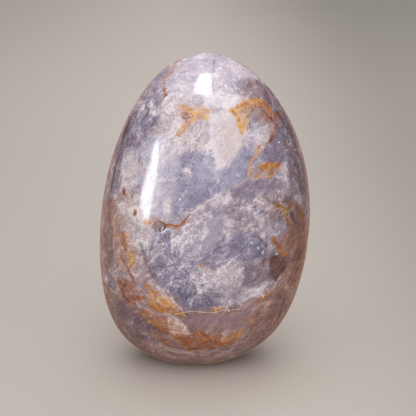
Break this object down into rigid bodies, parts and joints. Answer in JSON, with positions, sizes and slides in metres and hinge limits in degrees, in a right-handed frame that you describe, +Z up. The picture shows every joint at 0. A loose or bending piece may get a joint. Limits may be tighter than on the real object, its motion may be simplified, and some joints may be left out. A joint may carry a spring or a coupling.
{
  "type": "polished blue rose quartz freeform",
  "caption": "Hand-polished, egg-shaped blue rose quartz stone that stands upright on a small ground flat.",
  "frame": {"origin": "in the plane of the ground flat, under the middle of the stone's width and depth", "axes": "+Z up along the stone's height, +X across its width, -Y towards its best face"},
  "size_m": [0.0672, 0.0498, 0.1008],
  "materials": {
    "quartz": "mirror-polished, milky lilac-blue quartz with pale veils, rust-orange iron stains along healed cracks and a pink-brown skin near the base"
  },
  "bodies": {
    "root": {"quartz_stone": "quartz"}
  },
  "joints": []
}
